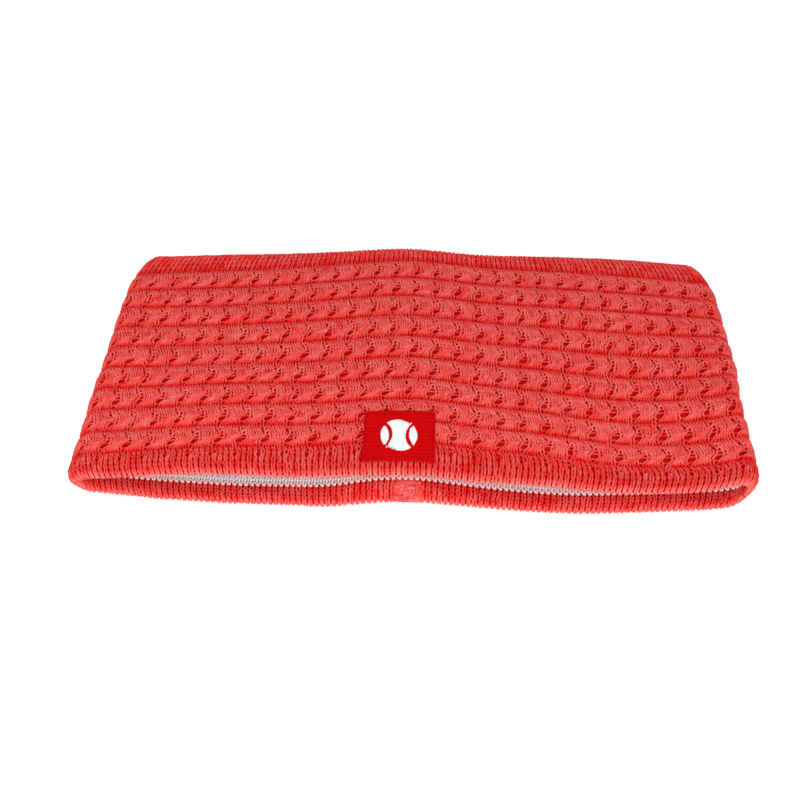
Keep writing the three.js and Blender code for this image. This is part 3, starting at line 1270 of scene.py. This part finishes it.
    def cloth(self) -> bpy.types.Object:
        """Builds the thin closed cloth under the loops, a grid round the ring and round its section.

        It follows ground_follow of the rolling up to ground_top, and stands ground_rim closer to the loops
        round each rim, where they spread apart.

        Returns:
            The new object.
        """
        gauge = self.ring.gauge
        columns = np.arange(gauge.wales)
        course = np.linspace(-self.edge_over, gauge.courses + self.edge_over, 3 * gauge.courses // 2)
        upper = self.ground + self.ground_follow * np.minimum(self.pattern.lift(course), self.ground_top)
        upper = upper + self.ground_rim * np.exp(-((self.to_rim(course) / self.ground_rim_reach) ** 2))
        lift = np.concatenate([upper, (upper - self.ground_thickness)[::-1]])
        w, c = np.meshgrid(columns, np.concatenate([course, course[::-1]]), indexing="ij")
        return wrapped_grid("outer_cloth", self.point(w, c, np.broadcast_to(lift, w.shape)))

    def build(self, material: bpy.types.Material) -> None:
        """Args:
            material: The outer yarn's finish.
        """
        # The cloth has no Height map, so it takes about the yarn's deep colour all over, a painted shade
        # under the loops.
        cloth = dress(self.cloth(), material)
        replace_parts(cloth, "outer_knit_band")
        gauge = self.ring.gauge
        for name, start, end in self.bands():
            parts = MeshParts()
            for course in range(start, end):
                centre, outward, height = self.strand(course)
                parts.add_tube(
                    centre,
                    outward,
                    gauge.yarn_radius,
                    self.sides,
                    closed=True,
                    lane=(course - start, end - start),
                    folds=gauge.cells_round,
                    height=height,
                )
            dress(parts.build(name), material)


@dataclass
class Lining:
    """The off-white lining: a plain closed cloth, and real loops where the openings show it.

    The depths of the cloth's two faces and of the loops are below the band's outer surface.
    """

    ring: LaidRing
    loop: LoopShape = field(default_factory=lambda: LoopShape(deep=0.28))
    courses: int = 56
    shown_courses: int = 6
    points: int = 7
    sides: int = 4
    yarn_radius: float = 0.4
    cloth_outer: float = 3.0
    cloth_inner: float = 3.7
    loop_depth: float = 4.05
    cloth_ribs: float = 0.18

    def __post_init__(self) -> None:
        """Works out the course height from the lining's box."""
        self.course_height = 2 * self.ring.lining_half / self.courses

    def y(self, course: np.ndarray) -> np.ndarray:
        """Gives the height between the rims of a place in courses."""
        return course * self.course_height - self.ring.lining_half

    def cloth(self) -> bpy.types.Object:
        """Builds the closed cloth. Its inner face has a shallow rib for each stitch away from the edges.

        Returns:
            The new object.
        """
        per_stitch, rows = 3, 17
        gauge = self.ring.gauge
        along = np.arange(gauge.wales * per_stitch) * self.ring.wale / per_stitch
        courses = np.linspace(0.3, self.courses - 0.3, rows)
        inside = np.minimum(courses, self.courses - courses) > self.shown_courses
        depth = np.concatenate([np.full(rows, self.cloth_outer), np.full(rows, self.cloth_inner)])
        rib = np.concatenate([np.zeros(rows), inside * (self.loop_depth - self.cloth_inner)])
        s, c = np.meshgrid(along, np.concatenate([courses, courses[::-1]]), indexing="ij")
        ribs = self.cloth_ribs * np.cos(TAU * s / self.ring.wale) * (rib > 0)
        points = self.ring.place(s, depth + rib + ribs, self.y(c))
        return wrapped_grid("lining_cloth", points[:, ::-1])

    def strand(self, course: int) -> tuple[np.ndarray, np.ndarray]:
        """Works out one course of the lining's loops.

        Args:
            course: The course's number, counted from the lower edge.

        Returns:
            The strand's centre line, and the direction into the opening along it.
        """
        t = self.loop.turns(self.ring.gauge.wales, self.points, self.points)
        wales, along, lift = self.loop.strand(t)
        y = self.y(course + 0.5 + along)
        centre = self.ring.place(wales * self.ring.wale, self.loop_depth + lift, y)
        inward = self.ring.place(wales * self.ring.wale, self.loop_depth + lift + NUDGE, y)
        return centre, unit(inward - centre)

    def build(self, material: bpy.types.Material) -> None:
        """Args:
            material: The lining yarn's finish.
        """
        cloth = dress(self.cloth(), material)
        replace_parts(cloth, "inner_lining")
        folds = self.ring.gauge.cells_round
        ends = [("lining_lower_courses", 0), ("lining_upper_courses", self.courses - self.shown_courses)]
        for name, first in ends:
            parts = MeshParts()
            for course in range(first, first + self.shown_courses):
                centre, outward = self.strand(course)
                lane = (course - first, self.shown_courses)
                parts.add_tube(
                    centre, outward, self.yarn_radius, self.sides, closed=True, lane=lane, folds=folds
                )
            dress(parts.build(name), material)


@dataclass
class LinkingSeam:
    """A row of linking stitches, one for each wale, that holds the lining to the turned-in edge."""

    ring: LaidRing
    name: str
    side: int
    points: int = 12
    sides: int = 5
    yarn_radius: float = 0.4
    reach: float = 0.75
    slant: float = 0.12
    inset: float = 0.6
    depth: float = 4.0
    swell: float = 0.2

    def build(self, material: bpy.types.Material) -> None:
        """Carries one strand round the ring, in slanting stitches that bridge the two edges.

        With t the turn along a stitch, it lies at t/2pi + slant cos t wales across, reach cos t along and
        swell sin^2 t deeper, towards the opening. Its middle lies inset within the seam's outer edge.

        Args:
            material: The linking yarn's finish.
        """
        t = LoopShape().turns(self.ring.gauge.wales, self.points, self.points)
        along = (t / TAU + self.slant * np.cos(t)) * self.ring.wale
        y = self.side * (self.ring.linking_outer - self.inset - self.reach * np.cos(t))
        depth = self.depth + self.swell * np.sin(t) ** 2
        centre = self.ring.place(along, depth, y)
        inward = unit(self.ring.place(along, depth + NUDGE, y) - centre)
        parts = MeshParts()
        folds = self.ring.gauge.cells_round
        parts.add_tube(centre, inward, self.yarn_radius, self.sides, closed=True, folds=folds)
        piece = dress(parts.build(self.name), material)
        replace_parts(piece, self.name)


@dataclass
class BackSeam:
    """The joining stitches of the outer knit at the centre back, bulky and tangled over the hems."""

    ring: LaidRing
    section: KnitSection
    threads: int = 5
    steps: int = 20
    sides: int = 5
    yarn_radius: float = 0.24
    narrow: float = 0.35
    bulky: float = 2.1
    proud: float = 0.45
    over: float = 6.3
    back: float = 9.1
    apart: float = 2.1
    stray: float = 0.9

    def build(self, material: bpy.types.Material) -> None:
        """Carries a few threads along the wall's section in loops across the seam.

        Thread n lies at width sin(over c + apart n) wales beside the centre back, c being courses, and
        rises and falls by proud. It turns back on itself as cos(back c + n), and strays at random. The
        width grows from narrow to bulky over the facings and rims.

        Args:
            material: The outer yarn's finish.
        """
        gauge = self.ring.gauge
        end = gauge.courses
        c = np.linspace(0, end, end * self.steps)
        hem = gauge.facing_courses + gauge.rim_courses + 0.5
        in_hem = smooth_step(hem - np.minimum(c, end - c))
        width = self.narrow + (self.bulky - self.narrow) * in_hem
        rng = np.random.default_rng(7)
        parts = MeshParts()
        for n in range(self.threads):
            turns_of_chance = rng.uniform(-self.stray, self.stray, 2 * end + 1)
            wander = np.interp(c, np.arange(0, end + 0.5, 0.5), turns_of_chance)
            turn = self.over * c + self.apart * n + wander
            wales = gauge.wales / 2 + width * np.sin(turn) + 0.4 * wander * in_hem
            course = c + 0.35 * np.cos(self.back * c + n + 2 * wander) * (0.4 + in_hem)
            lift = 0.1 + self.proud * np.abs(np.cos(turn))
            depth, y = self.section.at(course, lift)
            centre = self.ring.place(wales * self.ring.wale, depth, y)
            above, y_above = self.section.at(course, lift + NUDGE)
            outward = unit(self.ring.place(wales * self.ring.wale, above, y_above) - centre)
            height = rng.uniform(-0.2, 2.2, len(c))
            lane = (n, self.threads)
            parts.add_tube(
                centre, outward, self.yarn_radius, self.sides, lane=lane, folds=end // 2, height=height
            )
        piece = dress(parts.build("back_joining_stitches"), material)
        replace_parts(piece, "back_seam")


@dataclass
class LiningSeam:
    """The lining's own joining stitches: one thread in flat zigzags along the centre back."""

    ring: LaidRing
    steps: int = 8
    sides: int = 5
    yarn_radius: float = 0.3
    half_width: float = 0.8
    depth: float = 4.45
    ripple: float = 0.15
    stitch: float = 1.6
    folds: int = 12

    def build(self, material: bpy.types.Material) -> None:
        """Carries the thread from edge to edge, half_width sin(2 pi y / stitch) to each side.

        It lies at depth + ripple cos(4 pi y / stitch), so that it stands proud where it crosses and dives
        where it turns.

        Args:
            material: The lining yarn's finish.
        """
        half = self.ring.lining_half
        count = int(2 * half / self.stitch)
        y = np.linspace(-half, half, count * self.steps)
        turn = TAU * y / self.stitch
        along = self.ring.girth / 2 + self.half_width * np.sin(turn)
        depth = self.depth + self.ripple * np.cos(2 * turn)
        centre = self.ring.place(along, depth, y)
        inward = unit(self.ring.place(along, depth + NUDGE, y) - centre)
        parts = MeshParts()
        parts.add_tube(centre, inward, self.yarn_radius, self.sides, folds=self.folds)
        piece = dress(parts.build("lining_joining_stitches"), material)
        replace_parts(piece, "lining_back_seam")


# ------------------------------------------------------------------ label


@dataclass
class Label:
    """The woven label: a ribbed patch with turned edges, its sewing line and an embroidered ball.

    A satin stitch is laid in steps of satin_step and left out when it is satin_shortest steps or less.
    The ball's two lines are seam_line wide, and their circles' centres lie seam_centre of its radius away.
    """

    ring: LaidRing
    rib: float = 0.5
    rib_height: float = 0.07
    columns: int = 64
    rows_per_rib: int = 4
    edge_roll: float = 0.55
    stitch_length: float = 2.1
    stitch_gap: float = 0.5
    stitch_inset: float = 0.9
    stitch_rise: float = 0.16
    thread_radius: float = 0.17
    thread_points: int = 9
    thread_sides: int = 6
    thread_pitch: float = 1.2
    dive_power: int = 6
    satin_pitch: float = 0.3
    satin_radius: float = 0.19
    satin_lean: float = math.radians(24)
    satin_rise: float = 0.32
    satin_step: float = 0.05
    satin_shortest: int = 6
    cushion: float = 0.12
    uneven: float = 0.015
    slipped: float = 0.8
    seam_line: float = 0.95
    seam_centre: float = 1.45

    def __post_init__(self) -> None:
        """Reads the label's place and size from its CAD boxes."""
        low, high = cad_box("label_patch")
        self.middle = (low + high) / 2
        self.half_width, self.half_height = (high[0] - low[0]) / 2, (high[1] - low[1]) / 2
        self.top = high[2]
        self.thickness = high[2] - low[2]
        ball_low, ball_high = cad_box("label_emblem")
        self.ball_radius = (ball_high[0] - ball_low[0]) / 2

    def place(self, u: np.ndarray, v: np.ndarray, height: np.ndarray) -> np.ndarray:
        """Gives the point at u, v from the label's middle, at a height over its top, on the draped band.

        The label bends a little over the stitches under it, by a product of two waves.

        Args:
            u: Distance from the label's middle to the right.
            v: Distance from its middle towards the upper rim.
            height: Height above its top.

        Returns:
            Points in millimetres.
        """
        x, y = self.middle[0] + u, self.middle[1] + v - self.ring.drape.slide / 2 - self.slipped
        bent = self.cushion * np.sin(0.42 * x + 0.3) * np.cos(0.63 * y)
        return self.ring.place(x, self.ring.thickness - self.top - height - bent, y)

    def patch(self, material: bpy.types.Material) -> None:
        """Builds the ribbed patch as a closed slab.

        Its top is rib_height |sin(pi v / rib)| above a plate whose edges roll down like a quarter circle,
        by half its thickness, and its underside follows them a little less.

        Args:
            material: The label weave's finish.
        """
        rows = int(2 * self.half_height / self.rib) * self.rows_per_rib
        u, v = np.meshgrid(
            np.linspace(-self.half_width, self.half_width, self.columns),
            np.linspace(-self.half_height, self.half_height, rows + 1),
            indexing="ij",
        )
        to_edge = np.minimum(self.half_width - np.abs(u), self.half_height - np.abs(v))
        roll = np.clip(1 - to_edge / self.edge_roll, 0, 1)
        drop = 0.5 * self.thickness * (1 - np.sqrt(1 - roll**2))
        rng = np.random.default_rng(3)
        wander = rng.uniform(-self.uneven, self.uneven, u.shape)
        top = self.rib_height * np.abs(np.sin(math.pi * v / self.rib)) - drop + wander
        under = np.full_like(top, -self.thickness) + 0.9 * drop
        upper, lower = self.place(u, v, top), self.place(u, v, under)
        piece = dress(slab("woven_label", upper, lower), material)
        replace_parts(piece, "label_patch")

    def thread(
        self, parts: MeshParts, ends: np.ndarray, radius: float, rise: float, lane: tuple[int, int]
    ) -> None:
        """Adds one straight stitch that dives into the label at both ends.

        With s running from -1 to 1 along it, its middle line stands at rise (1 - s^6) less half its radius.

        Args:
            parts: The mesh that it joins.
            ends: Its two ends, as u and v.
            radius: The thread's radius.
            rise: How far its middle stands above the label.
            lane: Its lane in the bake map.
        """
        share = np.linspace(0, 1, self.thread_points)
        spot = ends[0] + (ends[1] - ends[0]) * share[:, None]
        height = rise * (1 - (2 * share - 1) ** self.dive_power) - radius / 2
        centre = self.place(spot[:, 0], spot[:, 1], height)
        above = self.place(spot[:, 0], spot[:, 1], height + NUDGE)
        outward = unit(above - centre)
        parts.add_tube(centre, outward, radius, self.thread_sides, lane=lane, pitch=self.thread_pitch)

    def stitching(self, material: bpy.types.Material) -> None:
        """Builds the running stitches round the label.

        Args:
            material: The sewing thread's finish.
        """
        a, b = self.half_width - self.stitch_inset, self.half_height - self.stitch_inset
        corners = np.array([(-a, -b), (a, -b), (a, b), (-a, b), (-a, -b)])
        spans = []
        for start, end in zip(corners[:-1], corners[1:]):
            length = float(np.linalg.norm(end - start))
            count = round(length / (self.stitch_length + self.stitch_gap))
            gap = 0.5 * self.stitch_gap / length
            marks = np.linspace(0, 1, count + 1)
            for mark, following in zip(marks, marks[1:]):
                spans.append(start + (end - start) * np.array([[mark + gap], [following - gap]]))
        parts = MeshParts()
        for index, ends in enumerate(spans):
            self.thread(parts, ends, self.thread_radius, self.stitch_rise, (index, len(spans)))
        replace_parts(dress(parts.build("label_sewing_line"), material), "label_stitching")

    def chords(self) -> list[np.ndarray]:
        """Lays satin stitches across the ball, broken where its two curved lines run.

        Each stitch lies on a leaning line. The ball's lines are bands round two circles of the ball's own
        radius, centred to its left and right.

        Returns:
            The two ends of each stitch, as u and v.
        """
        radius, lean = self.ball_radius, self.satin_lean
        direction = np.array([math.sin(lean), math.cos(lean)])
        beside = np.array([direction[1], -direction[0]])
        walk = np.arange(-radius, radius, self.satin_step)
        found = []
        for offset in np.arange(-radius + self.satin_pitch / 2, radius, self.satin_pitch):
            spots = beside * offset + direction * walk[:, None]
            shown = np.hypot(*spots.T) < radius
            for side in (-1, 1):
                away = np.hypot(spots[:, 0] - side * self.seam_centre * radius, spots[:, 1])
                shown &= np.abs(away - radius) > self.seam_line / 2
            edges = np.flatnonzero(np.diff(np.concatenate([[0], shown.astype(int), [0]])))
            runs = zip(edges[::2], edges[1::2] - 1)
            found += [spots[[a, b]] for a, b in runs if b - a > self.satin_shortest]
        return found

    def emblem(self, material: bpy.types.Material) -> None:
        """Builds the embroidered ball.

        Args:
            material: The embroidery thread's finish.
        """
        parts = MeshParts()
        chords = self.chords()
        for index, ends in enumerate(chords):
            self.thread(parts, ends, self.satin_radius, self.satin_rise, (index, len(chords)))
        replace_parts(dress(parts.build("embroidered_ball"), material), "label_emblem")

    def build(self, weave: bpy.types.Material, sewing: bpy.types.Material, satin: bpy.types.Material) -> None:
        """Builds the patch, its sewing line and the ball.

        Args:
            weave: The patch's material.
            sewing: The sewing line's material.
            satin: The ball's material.
        """
        self.patch(weave)
        self.stitching(sewing)
        self.emblem(satin)


def slab(name: str, upper: np.ndarray, lower: np.ndarray) -> bpy.types.Object:
    """Makes a closed slab from two grids of points, its sides joined along their four edges.

    Args:
        name: The piece's name.
        upper: The top face, columns by rows by 3, seen with columns to the right and rows away.
        lower: The underside, laid out alike.

    Returns:
        The new object.
    """
    columns, rows = upper.shape[:2]
    i, k = np.meshgrid(np.arange(columns - 1), np.arange(rows - 1), indexing="ij")
    cells = np.stack([i * rows + k, (i + 1) * rows + k, (i + 1) * rows + k + 1, i * rows + k + 1], axis=-1)
    cells = cells.reshape(-1, 4)
    below = cells[:, ::-1] + columns * rows
    index = np.arange(columns * rows).reshape(columns, rows)
    rim = np.concatenate([index[:, 0], index[-1, 1:], index[-2::-1, -1], index[0, -2:0:-1]])
    after = np.roll(rim, -1)
    sides = np.stack([rim, rim + columns * rows, after + columns * rows, after], axis=-1)
    parts = MeshParts()
    parts.points += [upper.reshape(-1, 3), lower.reshape(-1, 3)]
    parts.quads += [cells, below, sides]
    u0, u1 = (i / columns / 2).ravel(), ((i + 1) / columns / 2).ravel()
    v0, v1 = (k / rows).ravel(), ((k + 1) / rows).ravel()
    top = parts.corners(u0, u1, v0, v1)
    parts.bake += [top, top[:, ::-1] + [0.5, 0], np.full((len(sides), 4, 2), 0.49)]
    return parts.build(name)


# ------------------------------------------------------------------ stage


@dataclass(frozen=True)
class Studio:
    """A white floor under soft lamps, and a camera above the lower rim.

    The camera's angles are in degrees, the lamps' places and sizes in millimetres and their powers in
    watts. The floor reaches some metres to each side, and glows a little as a backlit sweep does.
    """

    azimuth: float = 3.6
    elevation: float = 54.4
    roll: float = -1.42
    distance: float = 334.8
    target: tuple[float, float, float] = (-5.5, -14.3, 8.0)
    lens: float = 40.64
    sky: float = 0.5
    key_place: tuple[float, float, float] = (-190, 40, 480)
    key_size: float = 220
    key_power: float = 0.6
    fill_place: tuple[float, float, float] = (60, -480, 390)
    fill_size: float = 400
    fill_power: float = 2.5
    floor_reach: float = 4.0
    floor_glow: float = 0.3

    def build(self) -> None:
        """Makes the camera, lamps, sky and floor."""
        scene = bpy.context.scene
        scene.view_settings.view_transform = "Standard"
        self.make_camera()
        self.make_lamp("key_lamp", self.key_place, self.key_size, self.key_power)
        self.make_lamp("fill_lamp", self.fill_place, self.fill_size, self.fill_power)
        world = bpy.data.worlds.new("sky")
        world.use_nodes = True
        scene.world = world
        background = world.node_tree.nodes["Background"]
        background.inputs["Color"].default_value = (1, 1, 1, 1)
        background.inputs["Strength"].default_value = self.sky
        self.make_floor()

    def make_camera(self) -> None:
        """Places the camera at its angle and distance from the target."""
        data = bpy.data.cameras.new("camera")
        data.lens = self.lens
        data.sensor_width = 36
        data.clip_start, data.clip_end = 0.01, 20
        camera = bpy.data.objects.new("camera", data)
        bpy.context.scene.collection.objects.link(camera)
        a, e = math.radians(self.azimuth), math.radians(self.elevation)
        back = Vector((math.sin(a) * math.cos(e), -math.cos(a) * math.cos(e), math.sin(e)))
        camera.location = (Vector(self.target) + back * self.distance) * MM
        roll = Quaternion((0, 0, 1), math.radians(self.roll))
        camera.rotation_euler = ((-back).to_track_quat("-Z", "Y") @ roll).to_euler()
        bpy.context.scene.camera = camera

    @staticmethod
    def make_lamp(name: str, place: tuple[float, float, float], size: float, power: float) -> None:
        """Adds a square area lamp that faces the band.

        Args:
            name: The lamp's name.
            place: Where it stands, in millimetres.
            size: The length of its side in millimetres.
            power: Its power in watts.
        """
        data = bpy.data.lights.new(name, "AREA")
        data.size = size * MM
        data.energy = power
        lamp = bpy.data.objects.new(name, data)
        lamp.location = Vector(place) * MM
        lamp.rotation_euler = (-lamp.location).to_track_quat("-Z", "Y").to_euler()
        bpy.context.scene.collection.objects.link(lamp)

    def make_floor(self) -> None:
        """Adds the floor the band lies on."""
        mesh = bpy.data.meshes.new("floor")
        r = self.floor_reach
        mesh.from_pydata([(-r, -r, 0), (r, -r, 0), (r, r, 0), (-r, r, 0)], [], [(0, 1, 2, 3)])
        floor = bpy.data.objects.new("floor", mesh)
        bpy.context.scene.collection.objects.link(floor)
        white = linear("#FFFFFF")
        settings = {
            "Base Color": white,
            "Roughness": 0.9,
            "Emission Color": white,
            "Emission Strength": self.floor_glow,
        }
        material, _, _ = new_material("white backlit sweep", settings)
        mesh.materials.append(material)


# Spun acrylic is matt. Its highest parts are painted a little paler and pinker than its dye, a painted
# highlight, and its low parts deeper red, a painted shade.
OUTER_YARN = YarnFinish("coral acrylic yarn", "#E40C09", "#F2746E", "#FFB8B4", sheen=0.08)
# The undyed lining yarn is a cool off-white, with a faint pink cast painted in as reflected light from the
# red beside it.
LINING_YARN = YarnFinish("off-white acrylic yarn", "#F6EEF0", "#FFFCFD", "#FFFFFF")
# The linking yarn is the lining's off-white yarn, painted pale pink as reflected light from the red stitches
# that it passes through.
LINKING_YARN = YarnFinish("pale pink linking yarn", "#E8A8A8", "#FBE6E6", "#FFFFFF")
# A damask label's polyester is a deeper, bluer red than the knit, and smoother.
LABEL_WEAVE = WovenFinish("deep red woven polyester", "#B40003", "#CE0205")
LABEL_THREAD = YarnFinish(
    "deep red sewing thread", "#A80003", "#C60204", "#D05050", sheen=0.0, ply_depth=0.04
)
# Embroidery rayon is bright white and lies in close parallel stitches that catch the light.
BALL_THREAD = YarnFinish("white embroidery thread", "#F0F0F0", "#FCFCFC", "#FFFFFF", ply_depth=0.03)


def main() -> None:
    """Builds the stage, the knit, the lining, the seams and the label in order."""
    logging.basicConfig(level=logging.INFO, format="%(name)s: %(message)s")
    Studio().build()
    ring = LaidRing()
    section = KnitSection(ring)
    outer_yarn, lining_yarn, linking_yarn = OUTER_YARN.build(), LINING_YARN.build(), LINKING_YARN.build()
    OuterKnit(ring, section, Pattern(ring, section)).build(outer_yarn)
    Lining(ring).build(lining_yarn)
    LinkingSeam(ring, "lower_linking_seam", -1).build(linking_yarn)
    LinkingSeam(ring, "upper_linking_seam", 1).build(linking_yarn)
    BackSeam(ring, section).build(outer_yarn)
    LiningSeam(ring).build(lining_yarn)
    Label(ring).build(LABEL_WEAVE.build(), LABEL_THREAD.build(), BALL_THREAD.build())


if __name__ == "__main__":
    main()
